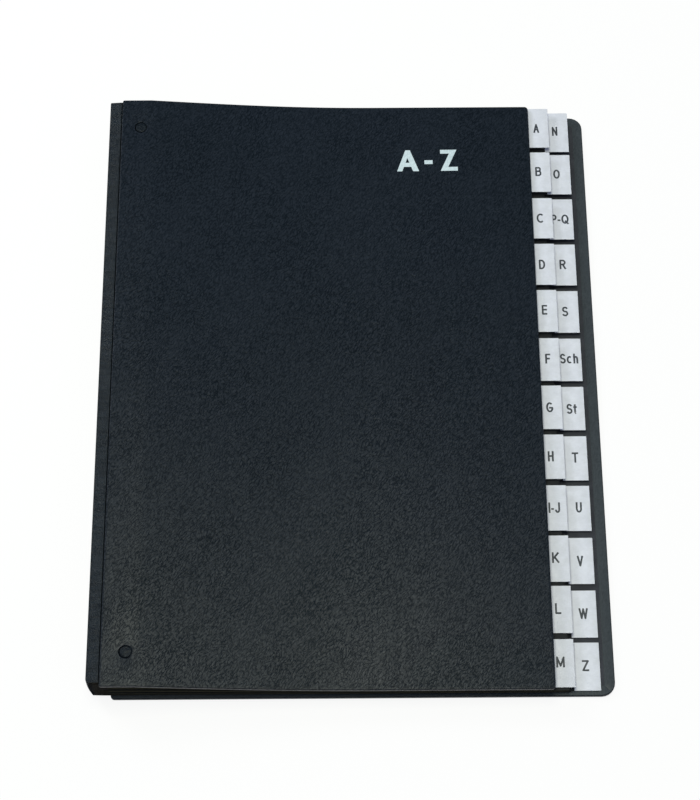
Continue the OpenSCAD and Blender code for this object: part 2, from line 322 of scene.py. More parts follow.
def makeWrap(look):
    material, at = newSkin("grainedWrap")
    grain = useGroup(grainGroup, at, **look["grain"])
    edge, inside = markOn(at, "edge"), markOn(at, "inside")  # the edge mark is below zero in the rivets' dimples, where it paints shade into the gap
    pitShade = (edge * -1.0).clamped()
    # faint smears, and darker in the creases as painted shade
    tone = smearOver(at) * look["smearTone"] + (1.0 - grain["Crease"]) * (1.0 - look["smearTone"])
    # the rubbed colour marks worn edges, and along the cover's lower edge it is also a painted highlight
    outer = mixColor(rubOver(at, look, edge), mixColor(tone, look["dark"], look["light"]), look["rubbed"])
    inner = mixColor(tone * look["insideGrain"], look["inside"], look["dark"])
    coatShadedInCreases = grain["Crease"] * -look["coatShade"] + (1.0 + look["coatMiddle"] * look["coatShade"])  # weaker in the creases, as painted shade on the gloss
    # the pit colour is painted shade in the rivets' gaps
    return dress(material, look, mixColor(inside, mixColor(pitShade, outer, look["pitShade"]), inner),
                 sheenOver(at, look).calc("MAXIMUM", pitShade), grain["Height"] * (inside * -look["insideFlat"] + 1.0),
                 Coat_Weight=(coatShadedInCreases * (1.0 - pitShade) * look["coat"]).clamped(), Coat_Roughness=look["coatRoughness"])


cardLook = {
    "dark": (0.015, 0.0165, 0.019, 1), "light": (0.025, 0.026, 0.03, 1), "cut": (0.046, 0.041, 0.0225, 1),
    "fibreScale": 900.0, "cloud": 0.5, "toneRange": (0.3, 0.7), "roughness": (0.75, 0.6), "specular": 0.1,
    "bump": (0.35, 0.00006),
}
paperLook = dict(cardLook, dark=(0.032, 0.033, 0.041, 1), light=(0.049, 0.051, 0.063, 1), cut=(0.048, 0.044, 0.052, 1))


def makeCard(name, look):
    material, at = newSkin(name)
    fibre, tone = fibreOver(at, look)
    cutEdge = markOn(at, "cutEdge")
    return dress(material, look, mixColor(cutEdge, mixColor(tone, look["dark"], look["light"]), look["cut"]),
                 sheenOver(at, look).calc("MAXIMUM", cutEdge), fibre["Height"])


# the seam colour is painted shade beside the front cover's edge
clothLook = {
    "dark": (0.001, 0.0034, 0.0072, 1), "light": (0.0118, 0.0178, 0.0262, 1), "rubbed": (0.0035, 0.0045, 0.006, 1),
    "cut": (0.031, 0.023, 0.0135, 1), "seam": (0.0004, 0.0006, 0.0008, 1), "rub": 0.9, "rubDull": 0.6,
    "threads": 2600.0, "creases": (90.0, 420.0, 420.0), "creaseRange": (0.3, 0.7), "creaseHeight": 2.0,
    "weaveTone": 0.3, "roughness": (0.37, 0.29), "specular": 0.17, "bump": (0.8, 0.00022),
}


def makeCloth(look):
    material, at = newSkin("pleatCloth")
    threads = [Field(addNode(at.tree, "ShaderNodeTexWave", {"bands_direction": direction}, Vector=at, Distortion=0.6,
                             Scale=look["threads"] / 6.28, Detail=1.0).outputs["Fac"]) for direction in ("X", "Y")]
    weave = threads[0] * 0.5 + threads[1] * 0.5
    creased = noiseNode(mapVector(at, look["creases"]), 1.0, 4.0, 0.6)  # faint creases across the strip
    tone = weave * look["weaveTone"] + rangeNode(creased, *look["creaseRange"]) * (1.0 - look["weaveTone"])
    rub = rubOver(at, look, markOn(at, "edge"))
    face = mixColor(rub, mixColor(tone, look["dark"], look["light"]), look["rubbed"])
    # the seam mark paints a line of shade beside the cover's edge
    cutEdge, seam = markOn(at, "cutEdge"), markOn(at, "seam")
    dull = seam.calc("MAXIMUM", cutEdge).calc("MAXIMUM", rub * look["rubDull"])
    return dress(material, look, mixColor(seam, mixColor(cutEdge, face, look["cut"]), look["seam"]),
                 sheenOver(at, look).calc("MAXIMUM", dull), creased * look["creaseHeight"] + weave)


labelLook = {
    "dark": (0.66, 0.662, 0.752, 1), "light": (0.752, 0.754, 0.852, 1), "soiled": (0.5, 0.505, 0.505, 1), "rub": 0.3,
    "fibreScale": 1300.0, "cloud": 0.7, "toneRange": (0.32, 0.68), "roughness": (0.34, 0.46), "specular": 0.45,
    "bump": (0.2, 0.00004),
}


def makeLabel(look):
    material, at = newSkin("whiteLabel")
    fibre, tone = fibreOver(at, look)
    clean = mixColor(tone, look["dark"], look["light"])
    return dress(material, look, mixColor(rubOver(at, look, markOn(at, "edge")), clean, look["soiled"]),
                 sheenOver(at, look), fibre["Height"])


inkLook = {"dense": (0.016, 0.019, 0.028, 1), "thin": (0.045, 0.052, 0.07, 1), "fibreScale": 2200.0, "cloud": 0.0,
           "toneRange": (0.3, 0.75), "roughness": 0.55, "specular": 0.5, "bump": (0.2, 0.00003)}


def makeInk(look):
    material, at = newSkin("indexInk")
    fibre, tone = fibreOver(at, look)
    return dress(material, look, mixColor(tone, look["dense"], look["thin"]), look["roughness"], fibre["Height"])


foilLook = {"full": (0.64, 0.735, 0.8, 1), "worn": (0.4, 0.49, 0.54, 1), "wornShare": 0.7, "roughness": (0.36, 0.55),
            "specular": 0.5, "bump": (0.4, 0.00018)}


def makeFoil(look):
    material, at = newSkin("coverPrint")
    grain = useGroup(grainGroup, at, **wrapLook["grain"])
    return dress(material, look, mixColor(grain["Crease"] * look["wornShare"], look["full"], look["worn"]),
                 sheenOver(at, look), grain["Height"])


rivetLook = {
    "paint": (0.0028, 0.0054, 0.0092, 1), "thin": (0.0105, 0.015, 0.0215, 1), "bare": (0.03, 0.032, 0.034, 1),
    "rub": 0.12, "rubScale": (6.0, 6.0, 6.0), "metal": 0.9, "brush": (1500.0, 620.0), "roughness": (0.32, 0.42),
    "paintRange": (0.36, 0.64), "sheenRange": (0.3, 0.7), "broadHeight": 4.0, "specular": 0.075, "bump": (1.0, 0.0001),
}


def makeRivet(look):
    material, at = newSkin("rivetPaint")
    fine, broad = look["brush"]
    brushed = noiseNode(at, fine, 3.0, 0.6)
    edge = markOn(at, "edge")  # below zero down in the dimple, where it paints shade into the gap
    rub, pitShade = rubOver(mapVector(at, look["rubScale"]), look, edge), (edge * -1.0).clamped()
    paint = mixColor(rangeNode(brushed, *look["paintRange"]), look["paint"], look["thin"])
    sheen = rangeNode(brushed, *look["sheenRange"], *look["roughness"], smooth=False)
    return dress(material, look, mixColor(rub, mixColor(pitShade, paint, wrapLook["pitShade"]), look["bare"]),
                 sheen.calc("MAXIMUM", pitShade), noiseNode(at, broad, 1.0) * look["broadHeight"] + brushed,
                 Metallic=rub * look["metal"])


boardLook = {
    "dark": (0.13, 0.12, 0.1, 1), "light": (0.3, 0.285, 0.25, 1), "fleck": (0.05, 0.045, 0.04, 1), "fleckScale": 1900.0,
    "fleckRange": (0.68, 0.74), "fibreScale": 700.0, "cloud": 0.6, "toneRange": (0.3, 0.7), "roughness": (0.8, 0.92),
    "specular": 0.5, "bump": (0.4, 0.0001),
}


def makeBoard(look):
    material, at = newSkin("greyBoard")
    fibre, tone = fibreOver(at, look)
    fleck = rangeNode(noiseNode(at, look["fleckScale"], 2.0), *look["fleckRange"])
    return dress(material, look, mixColor(fleck, mixColor(tone, look["dark"], look["light"]), look["fleck"]),
                 rangeNode(fibre["Cloud"], *look["toneRange"], *look["roughness"], smooth=False), fibre["Height"])


wrapSkin, clothSkin, labelSkin = makeWrap(wrapLook), makeCloth(clothLook), makeLabel(labelLook)
cardSkin, paperSkin = makeCard("blackCard", cardLook), makeCard("endPaper", paperLook)
inkSkin, foilSkin = makeInk(inkLook), makeFoil(foilLook)
rivetSkin, boardSkin = makeRivet(rivetLook), makeBoard(boardLook)
print("materials:", len(bpy.data.materials))

# Mesh helpers


def linkNew(name, data):
    obj = bpy.data.objects.new(name, data)
    scene.collection.objects.link(obj)
    return obj


def smoothed(mesh, sharpAngle=grid["sharpAngle"]):
    mesh.shade_smooth()
    mesh.set_sharp_from_angle(angle=math.radians(sharpAngle))
    return mesh


def outward(mesh, upward=False):  # turns the faces of a solid outwards, or those of a flat sheet up
    bm = bmesh.new()
    bm.from_mesh(mesh)
    bmesh.ops.recalc_face_normals(bm, faces=bm.faces)
    if upward and sum(f.normal.z for f in bm.faces) < 0:
        bmesh.ops.reverse_faces(bm, faces=bm.faces)
    bm.to_mesh(mesh)
    bm.free()
    return mesh


def setMark(mesh, mark, values):
    mesh.attributes.new(mark, "FLOAT", "POINT").data.foreach_set("value", values)


def solidPiece(name, points, faces, skin, sharpAngle, **marks):
    mesh = bpy.data.meshes.new(name)
    mesh.from_pydata([Vector(p) * mm for p in points], [], faces)
    for mark, values in marks.items():
        setMark(mesh, mark, values)
    outward(mesh).materials.append(skin)
    return linkNew(name, smoothed(mesh, sharpAngle))


def arc(cx, cy, rx, ry, start, end, steps=14):
    turns = [math.radians(start + (end - start) * i / steps) for i in range(steps + 1)]
    return [(cx + rx * math.cos(a), cy + ry * math.sin(a)) for a in turns]


def circleLoop(cx, cy, r, count=40):
    turns = [2 * math.pi * i / count for i in range(count)]
    return [(cx + r * math.cos(a), cy + r * math.sin(a)) for a in turns]


def roundedLoop(x0, x1, y0, y1, spineR, freeR, xs=(), ys=()):
    def corner(cx, cy, r, start):
        return arc(cx, cy, r, r, start, start + 90, grid["cornerSteps"])
    return (corner(x0 + spineR, y0 + spineR, spineR, 180) + [(x, y0) for x in xs]
            + corner(x1 - freeR, y0 + freeR, freeR, 270) + [(x1, y) for y in ys]
            + corner(x1 - freeR, y1 - freeR, freeR, 0) + [(x, y1) for x in reversed(xs)]
            + corner(x0 + spineR, y1 - spineR, spineR, 90) + [(x0, y) for y in reversed(ys)])


def around(loop):  # the pairs of neighbours round a closed loop
    return list(zip(loop, loop[1:] + loop[:1]))


def insideLoops(x, y, loops):
    odd = False
    for loop in loops:
        for (ax, ay), (bx, by) in around(loop):
            if (ay > y) != (by > y) and x < ax + (bx - ax) * (y - ay) / (by - ay):
                odd = not odd
    return odd


def delaunay(loops, extra=(), lines=(), tolerance=1e-5):
    flat = [Vector(p) for loop in loops for p in loop] + [Vector(p) for p in extra]
    edges, first = list(lines), 0
    for loop in loops:
        edges += around(list(range(first, first + len(loop))))
        first += len(loop)
    points, _, faces, origin, _, _ = delaunay_2d_cdt(flat, edges, [], 0, tolerance)
    middles = [sum((points[i] for i in face), Vector((0, 0))) / len(face) for face in faces]
    return points, list(zip(faces, middles)), origin


def fillLoops(loops, extra=(), lines=()):
    # triangles inside the first loop and outside the others; their numbers count through the loops, then extra
    _, faces, origin = delaunay(loops, extra, lines)
    return [tuple(origin[i][0] for i in face) for face, middle in faces if insideLoops(*middle, loops)]


def gridInside(loop, holes, xs, ys, margin=2.5):
    xLow, xHigh = min(p[0] for p in loop) + margin, max(p[0] for p in loop) - margin
    yLow, yHigh = min(p[1] for p in loop) + margin, max(p[1] for p in loop) - margin
    return [(x, y) for x in xs for y in ys if xLow < x < xHigh and yLow < y < yHigh
            and all(math.hypot(x - hx, y - hy) > hr + margin for hx, hy, hr in holes)]


# Covers

rivetAt = {
    "places": ((-112.9, -152.2), (-114.9, 152.2)), "play": (0.17, 0.13), "gapShadeTurn": 225.0, "gapShadeLow": 0.1,
    "dimpleR": 3.34, "lip": 0.35, "gapShadeDepth": 0.05,  # below: share of the lip and depth, down into the dimple
    "dimple": ((0.55, 0.02), (0.22, 0.10), (0.05, 0.24), (0.0, 0.42), (0.0, 0.78), (-0.06, 0.83)),
}


def gapShadeShare(x, y):  # painted shade in a rivet's gap, darkest on the side that its play leaves open
    turned = math.cos(math.atan2(y, x) - math.radians(rivetAt["gapShadeTurn"]))
    return rivetAt["gapShadeLow"] + (1 - rivetAt["gapShadeLow"]) * (0.5 + 0.5 * turned)


coverEdge = {
    "rim": 0.5, "rimSteps": 5, "field": 1.9, "ease": 1.3, "turnIn": 5.5, "recess": 0.25, "windowR": 0.3, "leastR": 0.3,
    "mitre": 0.03, "mitreHalf": 0.16, "mitreLead": 0.4, "mitreEnd": 1.0, "mitreShare": 0.3,
    "rubElsewhere": 0.15, "rubAndHighlightBottom": 0.5, "bottomBand": 3, "spineBand": 4,
    "rubEase": 0.1, "rubOuter": (0.35, 0.65), "rubInner": (0.9, 0.6),  # at the start of a rounding, and its change
}
frontCover = dict(coverEdge, x0=-125.5, x1=101.3, spineR=1.0, freeR=2.0)
backCover = dict(coverEdge, x0=-121.7, x1=132.5, spineR=2.0, freeR=7.0)
coverRows = meshRows(13)


def coverPiece(name, cfg, place):
    points, mask, inside, faces = [], [], [], []
    half, thick, rim, ys = block["coverH"] / 2, block["coverT"], cfg["rim"], coverRows
    xs = bendStations(cfg["x0"], cfg["x1"])

    def outline(inset):
        return roundedLoop(cfg["x0"] + inset, cfg["x1"] - inset, inset - half, half - inset,
                           max(cfg["spineR"] - inset, cfg["leastR"]), max(cfg["freeR"] - inset, cfg["leastR"]), xs, ys)

    def rubAndHighlightAt(x, y):  # rubbed wear on the edges; the lower edge gets the most, where it is partly a painted highlight; the spine edge gets none
        if y < cfg["bottomBand"] - half:
            return cfg["rubAndHighlightBottom"]
        return 0.0 if x < cfg["x0"] + cfg["spineBand"] else cfg["rubElsewhere"]

    def addPoints(loop, depths, edge, inner):
        first = len(points)
        points.extend((x, y, depth) for (x, y), depth in zip(loop, depths))
        mask.extend(edge(x, y) for x, y in loop)
        inside.extend([inner] * len(loop))
        return list(range(first, len(points)))

    def addLoop(loop, depth, edge=0.0, inner=0.0):
        return addPoints(loop, [depth] * len(loop), lambda x, y: edge * rubAndHighlightAt(x, y), inner)

    def stitch(a, b):
        faces.extend((a0, a1, b1, b0) for (a0, a1), (b0, b1) in zip(around(a), around(b)))

    def fill(loops, ids, extra, depths, inner=0.0, lines=()):
        numbers = [n for loop in ids for n in loop] + addPoints(extra, depths, lambda x, y: 0.0, inner)
        faces.extend(tuple(numbers[i] for i in tri) for tri in fillLoops(loops, extra, lines))

    # outer face with the two pressed dimples
    field = outline(cfg["field"])
    holes = [(x, y, rivetAt["dimpleR"] + rivetAt["lip"]) for x, y in rivetAt["places"]]
    fieldIds = addLoop(field, 0.0)
    holeLoops = [circleLoop(*hole) for hole in holes]
    holeIds = [addLoop(loop, 0.0) for loop in holeLoops]
    extra = gridInside(field, holes, xs, ys)
    fill([field] + holeLoops, [fieldIds] + holeIds, extra, [0.0] * len(extra))
    for (cx, cy, _), ring in zip(holes, holeIds):
        for share, depth in rivetAt["dimple"]:
            loop = circleLoop(cx, cy, rivetAt["dimpleR"] + share * rivetAt["lip"])
            # painted shade on the dimple's wall below this depth, darker on one side
            gapShade = -1.0 if depth > rivetAt["gapShadeDepth"] else 0.0
            lower = addPoints(loop, [depth] * len(loop), lambda x, y: gapShade * gapShadeShare(x - cx, y - cy), 0.0)
            stitch(ring, lower)
            ring = lower
        faces.append(tuple(ring))
    # rounded outer edge, side and inner edge: inset, depth and how much each ring gets the rubbed colour, which along
    # the lower edge is partly a painted highlight
    quarter = [(i / cfg["rimSteps"], math.pi / 2 * i / cfg["rimSteps"]) for i in range(cfg["rimSteps"] + 1)]
    (outer, rise), (inner, fall) = cfg["rubOuter"], cfg["rubInner"]
    profile = [(cfg["ease"], 0.0, cfg["rubEase"])]
    profile += [(rim * (1 - math.sin(a)), rim * (1 - math.cos(a)), outer + rise * math.sin(a)) for _, a in quarter]
    profile += [(rim * (1 - math.cos(a)), thick - rim + rim * math.sin(a), inner - fall * part) for part, a in quarter]
    ring = fieldIds
    for inset, depth, edge in profile:
        loop = addLoop(outline(inset), depth, edge, 1.0 if depth > thick - tiny else 0.0)
        stitch(ring, loop)
        ring = loop
    # turn-ins round the lining, with a mitred seam at each free corner
    x1, turn = cfg["x1"], cfg["turnIn"]
    window = roundedLoop(block["glueX"], x1 - turn, turn - half, half - turn, cfg["windowR"], cfg["windowR"],
                         [x for x in xs if block["glueX"] + 1 < x < x1 - turn - 1], ys)
    windowIds = addLoop(window, thick, inner=1.0)
    seams, depths, lines = [], [], []
    start, seamEnd = len(outline(rim)) + len(window), cfg["mitreShare"] * cfg["freeR"] + cfg["mitreEnd"]
    for side in (-1, 1):
        a = Vector((x1 - turn + cfg["mitreLead"], side * (half - turn + cfg["mitreLead"])))
        b = Vector((x1 - seamEnd, side * (half - seamEnd)))
        across = Vector((b.y - a.y, a.x - b.x)).normalized() * cfg["mitreHalf"]
        for offset, depth in ((-1, thick), (0, thick - cfg["mitre"]), (1, thick)):
            lines.append((start + len(seams), start + len(seams) + 1))
            seams += [tuple(a + across * offset), tuple(b + across * offset)]
            depths += [depth, depth]
    fill([outline(rim), window], [ring, windowIds], seams, depths, 1.0, lines)
    floorIds = addLoop(window, thick - cfg["recess"], inner=1.0)
    stitch(windowIds, floorIds)
    extra = gridInside(window, [], xs, ys)
    fill([window], [floorIds], extra, [thick - cfg["recess"]] * len(extra), 1.0)
    return solidPiece(name, [place(*p) for p in points], faces, wrapSkin, grid["sharpAngle"], edge=mask, inside=inside)


frontWrap = coverPiece("front_cover_skin", frontCover, lambda x, y, d: (x, y, frontTop(x) - d))
backWrap = coverPiece("back_cover_skin", backCover, lambda x, y, d: (x, y, d))
for piece, body, node in ((frontWrap, "front_cover", "front_cover_wrap"), (backWrap, "back_cover", "back_cover_wrap")):
    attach(piece, body)
    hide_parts(node)
print("covers:", len(frontWrap.data.polygons), len(backWrap.data.polygons))

# Geometry node helpers


def shapeTree(name, *sizes, **others):
    sockets = [("Geometry", "Geometry")] + [(label, "Float") for label in sizes] + list(others.items())
    return newGroup(name, "GeometryNodeTree", sockets, [("Geometry", "Geometry")])


def geoNode(tree, kind, **values):
    return addNode(tree, "GeometryNode" + kind, **values)


def xyz(tree, *values):
    n = addNode(tree, "ShaderNodeCombineXYZ")
    for socket, value in zip(n.inputs, values):
        feed(socket, value)
    return n.outputs[0]


def splitPosition(tree):
    n = addNode(tree, "ShaderNodeSeparateXYZ")
    feed(n.inputs[0], geoNode(tree, "InputPosition").outputs[0])
    return [Field(s) for s in n.outputs]


def closeTree(tree, out, geometry, material):
    real = geoNode(tree, "RealizeInstances", Geometry=geometry)
    feed(out["Geometry"], geoNode(tree, "SetMaterial", Geometry=real.outputs[0], Material=material).outputs[0])


def thicken(tree, sheet, thickness, direction=None):
    # the sheet turned over, plus the same sheet pushed up by its thickness; the walls get the cutEdge mark
    under = geoNode(tree, "FlipFaces", Mesh=sheet)
    raised = geoNode(tree, "ExtrudeMesh", Mesh=sheet, Offset=direction, Offset_Scale=thickness, Individual=False)
    marked = geoNode(tree, "StoreNamedAttribute", Geometry=raised.outputs["Mesh"], Name="cutEdge",
                     Selection=raised.outputs["Side"])
    marked.data_type, marked.domain = "FLOAT", "FACE"
    feed([s for s in marked.inputs if s.name == "Value" and s.enabled][0], 1.0)
    joined = geoNode(tree, "JoinGeometry")
    for part in (under, marked):
        feed(joined.inputs[0], part.outputs[0])
    return geoNode(tree, "MergeByDistance", Geometry=joined.outputs[0], Distance=1e-6).outputs[0]


def runTree(name, mesh, tree, values):
    obj = linkNew(name, mesh)
    modifier = obj.modifiers.new("shape", "NODES")
    modifier.node_group = tree
    for item in tree.interface.items_tree:
        if item.in_out == "INPUT" and item.name in values:
            modifier[item.identifier] = values[item.name]
    evaluated = obj.evaluated_get(bpy.context.evaluated_depsgraph_get())
    made = bpy.data.meshes.new_from_object(evaluated)
    obj.modifiers.remove(modifier)
    obj.data = smoothed(made)
    return obj


# Bends a flat sheet into the closed block's curve and gives it its thickness
sheetTree, given, out = shapeTree(
    "bentSheet", "Spine height", "Edge height", "Bend start", "Bend length", "Bend power", "Bend swell", "Thickness",
    Material="Material")
run = ((splitPosition(sheetTree)[0] - given["Bend start"]) / given["Bend length"]).clamped()
share = (1.0 - run) ** given["Bend power"] * (run * given["Bend swell"] + 1.0)
middle = (given["Spine height"] - given["Edge height"]) * share + given["Edge height"]
lifted = geoNode(sheetTree, "SetPosition", Geometry=given["Geometry"],
                 Offset=xyz(sheetTree, 0.0, 0.0, given["Thickness"] * -0.5 + middle))
closeTree(sheetTree, out, thicken(sheetTree, lifted.outputs[0], given["Thickness"], (0.0, 0.0, 1.0)), given["Material"])


def bentSheet(name, loops, extra, spineZ, edgeZ, thick, skin):
    flat = [p for loop in loops for p in loop] + list(extra)
    mesh = bpy.data.meshes.new(name)
    mesh.from_pydata([(x * mm, y * mm, 0.0) for x, y in flat], [], fillLoops(loops, extra))
    mesh.validate()
    return runTree(name, outward(mesh, upward=True), sheetTree, {
        "Spine height": spineZ * mm, "Edge height": edgeZ * mm, "Bend start": block["glueX"] * mm,
        "Bend length": block["bendLength"] * mm, "Bend power": block["bendPower"], "Bend swell": block["bendSwell"],
        "Thickness": thick * mm, "Material": skin})


# Linings inside the covers

lining = {"thick": 0.4, "depth": 2.25, "slack": 0.06, "cornerR": 0.3}


def liningPiece(name, cfg, spineZ, edgeZ):
    half = block["coverH"] / 2 - cfg["turnIn"] - lining["slack"]
    x0, x1 = block["glueX"] + lining["slack"], cfg["x1"] - cfg["turnIn"] - lining["slack"]
    loop = roundedLoop(x0, x1, -half, half, lining["cornerR"], lining["cornerR"], bendStations(x0, x1))
    return bentSheet(name, [loop], [], spineZ, edgeZ, lining["thick"], paperSkin)


frontLining = liningPiece("front_cover_endpaper", frontCover,
                          block["frontSpineZ"] - lining["depth"], block["frontEdgeZ"] - lining["depth"])
backLining = liningPiece("back_cover_endpaper", backCover, lining["depth"], lining["depth"])
for piece, body, node in ((frontLining, "front_cover", "front_cover_lining"),
                          (backLining, "back_cover", "back_cover_lining")):
    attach(piece, body)
    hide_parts(node)
print("linings:", len(frontLining.data.polygons), len(backLining.data.polygons))

# Index leaves

leafCut = {"height": 337.6, "cardT": 0.3, "tabW": 15.0, "tabGap": 3.1, "tabStray": 1.75, "columns": (111.75, 125.1),
           "lean": (-0.7, 1.2), "sightX": 62.9, "sightD": 12.0, "sightPitch": 90.0, "sightCount": 3,
           "cornerR": 1.2, "clear": 3.0}
tabPitch = (leafCut["height"] + leafCut["tabGap"]) / rowCount
tabH = tabPitch - leafCut["tabGap"]
leafRows = meshRows(9)


def tabPlace(k):
    column = 1 if k > rowCount else 0
    row = k - column * rowCount
    y = block["shift"] + ((rowCount + 1) / 2 - row) * tabPitch + leafCut["tabStray"] * index[k - 1][5]
    room = (leafCut["height"] - tabH) / 2  # a tab stays within the ends of its leaf
    x = leafCut["columns"][column] - leafCut["lean"][column] * (rowCount - row) / (rowCount - 1)
    return x, min(leafShift(k) + room, max(leafShift(k) - room, y))


def leafOutline(k):
    x1, yTab = tabPlace(k)
    x0, body, r = block["leafX"], x1 - leafCut["tabW"], leafCut["cornerR"]
    low, high = leafShift(k) - leafCut["height"] / 2, leafShift(k) + leafCut["height"] / 2
    below, above = yTab - tabH / 2, yTab + tabH / 2
    xs = bendStations(x0, body)

    def corner(room, y, centreY, start):  # round where the tab leaves room for it
        return arc(body - r, centreY, r, r, start, start + 90, steps=4) if room > 2 * r else [(body, y)]
    points = [(x0, low)] + [(x, low) for x in xs]
    if below - low > tiny:
        points += corner(below - low, low, low + r, 270) + [(body, below)]
    points += [(x1, below), (x1, above)]
    if high - above > tiny:
        points += [(body, above)] + corner(high - above, high, high - r, 0)
    return points + [(x, high) for x in reversed(xs)] + [(x0, high)], xs, body


sights = [(leafCut["sightX"], block["shift"] + (i - 1) * leafCut["sightPitch"], leafCut["sightD"] / 2)
          for i in range(leafCut["sightCount"])]
for k, name in enumerate(names, 1):
    edgeLoop, xs, body = leafOutline(k)
    extra = [p for p in gridInside(edgeLoop, sights, xs, leafRows, leafCut["clear"]) if p[0] < body - leafCut["clear"]]
    loops = [edgeLoop] + [circleLoop(*sight, count=36) for sight in sights]
    piece = bentSheet("leaf_card_" + name, loops, extra, *leafHeights(k), leafCut["cardT"], cardSkin)
    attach(piece, "leaf_" + name)
    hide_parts("leaf_" + name)
print("leaves:", leafCount, "of", len(piece.data.polygons), "faces")

# Pleated bellows: one folded strip of cloth between each two neighbours, bending at its fold

pleat = {"length": 337.0, "shift": 1.35, "thick": 0.15, "foldGap": 0.06, "foldShare": 0.25, "across": 41,
         "acrossTop": 221, "along": 41, "crowd": 3.0, "cornerR": 1.6, "cornerLow": 0.5, "cornerTop": 0.65, "dip": 0.35,
         "dipWidth": 0.4, "dipFrom": 0.2, "seamHalf": 0.4, "seamFade": 1.5, "rubWidth": 0.9, "sag": 0.95, "lean": 1.9,
         "leanPower": 2.4}

# A strip folded once: its lower half runs under the fold, its upper half above it
pleatTree, given, out = shapeTree(
    "foldedPleat", "Fold x", "Fold z", "Fold radius", "Fold share", "Lower edge x", "Upper edge x", "Lower rise",
    "Upper rise", "Margin end x", "Length", "Shift", "Corner radius", "Dip x", "Dip width", "Dip depth", "Thickness",
    Across="Int", Along="Int", Material="Material")
radius, foldShare, halfLength = given["Fold radius"], given["Fold share"], given["Length"] * 0.5
strip = geoNode(pleatTree, "MeshGrid", Size_X=2.0, Size_Y=2.0, Vertices_X=given["Across"], Vertices_Y=given["Along"])
u, v, _ = splitPosition(pleatTree)
away, side, upper = u.calc("ABSOLUTE"), u.calc("SIGN"), u.calc("GREATER_THAN", 0.0)
turnAngle = (away / foldShare).clamped() * (math.pi / 2)
flank = ((away - foldShare) / (1.0 - foldShare)).clamped()
arcEnd = given["Fold x"] + radius
flatX = flank * (given["Margin end x"] - arcEnd) + (arcEnd - radius * turnAngle.calc("COSINE"))
fromEnd = (1.0 - v.calc("ABSOLUTE")) ** pleat["crowd"] * halfLength  # rows crowd towards both ends
stripY = v.calc("SIGN") * (halfLength - fromEnd) + given["Shift"]
squarer = v.calc("GREATER_THAN", 0.0) * -pleat["cornerTop"] + 1.0  # at the top end
cornerR = given["Corner radius"] * squarer
short = (1.0 - fromEnd / cornerR).clamped()
inward = cornerR * (1.0 - (1.0 - short * short).clamped().calc("SQRT"))
stripX = inward * (1.0 - flank) + flatX


def pick(what):
    low, high = given["Lower " + what], given["Upper " + what]
    return upper * (high - low) + low


stripZ = rangeNode(flatX, arcEnd, pick("edge x")) * (pick("rise") - radius) + radius * turnAngle.calc("SINE")
dipRun = (flatX - given["Dip x"]) / given["Dip width"]
dip = (dipRun * dipRun * -1.0).calc("EXPONENT") * (given["Dip depth"] * upper)
folded = geoNode(pleatTree, "SetPosition", Geometry=strip.outputs["Mesh"],
                 Position=xyz(pleatTree, stripX, stripY, side * stripZ + given["Fold z"] - dip))
sunk = addNode(pleatTree, "ShaderNodeVectorMath", {"operation": "SCALE"}, Scale=given["Thickness"] * -0.5)
feed(sunk.inputs[0], geoNode(pleatTree, "InputNormal").outputs[0])
inner = geoNode(pleatTree, "SetPosition", Geometry=folded.outputs[0], Offset=sunk.outputs[0])
closeTree(pleatTree, out, thicken(pleatTree, inner.outputs[0], given["Thickness"]), given["Material"])


def markFold(mesh, foldX, seamX):  # the outermost part of each fold gets rubbed, and the seam beside the cover gets a painted line of shade
    xs = [v.co.x / mm for v in mesh.vertices]
    setMark(mesh, "edge", [max(0.0, 1 - (x - foldX) / pleat["rubWidth"]) for x in xs])
    near = [0.0 if seamX is None else pleat["seamFade"] - abs(x - seamX) / pleat["seamHalf"] for x in xs]
    setMark(mesh, "seam", [max(0.0, min(1.0, share)) for share in near])


bodyOf = ["front_cover"] + ["leaf_" + name for name in names] + ["back_cover"]
halfCloth = pleat["thick"] / 2
onCard = block["foldPitch"] / 2 - leafCut["cardT"] / 2 - halfCloth
dipX = frontCover["x0"] - pleat["dipFrom"]
for k in range(leafCount + 1):
    foldX, foldZ = foldPlace(k)
    down, first, last = k / leafCount, k == 0, k == leafCount
    outX = block["foldX"] + pleat["lean"] * down ** pleat["leanPower"]
    sizes = {
        "Fold x": outX + halfCloth, "Fold z": foldZ, "Fold radius": pleat["foldGap"] / 2 + halfCloth,
        "Lower rise": foldZ - block["coverT"] - halfCloth if last else onCard,
        "Upper rise": block["frontSpineZ"] - block["coverT"] - halfCloth - foldZ if first else onCard,
        "Lower edge x": backCover["x0"] if last else block["leafX"],
        "Upper edge x": frontCover["x0"] if first else block["leafX"], "Margin end x": block["glueX"],
        "Length": pleat["length"], "Shift": pleat["shift"] - pleat["sag"] * down,
        "Corner radius": pleat["cornerR"] + (pleat["cornerLow"] - pleat["cornerR"]) * down,
        "Dip x": dipX, "Dip width": pleat["dipWidth"], "Dip depth": pleat["dip"] if first else 0.0,
        "Thickness": pleat["thick"],
    }
    piece = runTree("pleat_%02d" % k, bpy.data.meshes.new("pleat"), pleatTree, {
        **{label: size * mm for label, size in sizes.items()}, "Fold share": pleat["foldShare"],
        "Across": pleat["acrossTop" if first else "across"], "Along": pleat["along"], "Material": clothSkin})
    markFold(piece.data, outX, dipX if first else None)
    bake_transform(piece)
    if first:
        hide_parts("front_pleat")
    if last:
        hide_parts("back_pleat")
print("pleats:", leafCount + 1, "of", len(piece.data.polygons), "faces")

# Repeated small pieces, stamped on points

